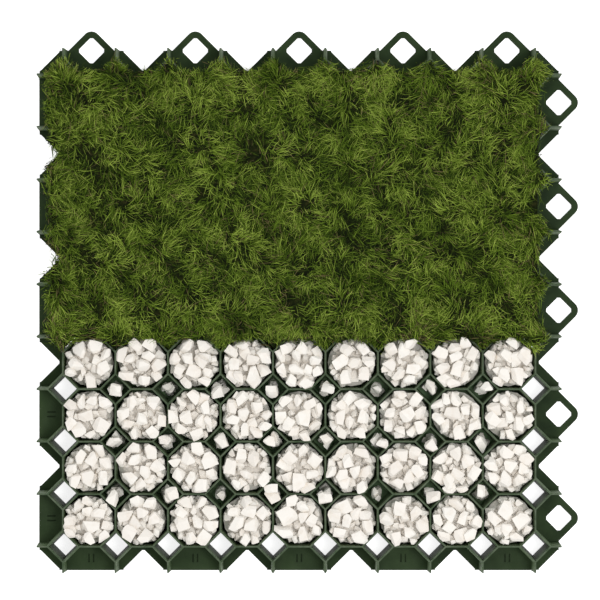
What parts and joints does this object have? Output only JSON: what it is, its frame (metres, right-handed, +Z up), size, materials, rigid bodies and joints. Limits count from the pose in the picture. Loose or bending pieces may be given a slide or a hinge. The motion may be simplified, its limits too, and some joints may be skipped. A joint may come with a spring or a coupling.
{
  "type": "grass paver grid",
  "caption": "Square moulded plastic ground grid of octagon cells with clip edges, part filled with turf and part with pale crushed stone, for a load-bearing green or gravel surface.",
  "frame": {"origin": "middle of the whole box on the ground, 9.25 mm right of and above the middle of the 500 mm module", "axes": "+Z up, +X towards the right edge with loops, +Y towards the top edge with loops"},
  "size_m": [0.5184, 0.5184, 0.0524],
  "materials": {
    "green_plastic": "dark green moulded polyethylene, satin, slightly dusty",
    "grass_turf": "short dense lawn grass over soil and thatch",
    "pale_stone": "angular off-white crushed stone, matt"
  },
  "bodies": {
    "root": {"paver_grid": "green_plastic", "turf": "grass_turf", "stone_fill": "pale_stone", "loose_chips": "pale_stone"}
  },
  "joints": []
}
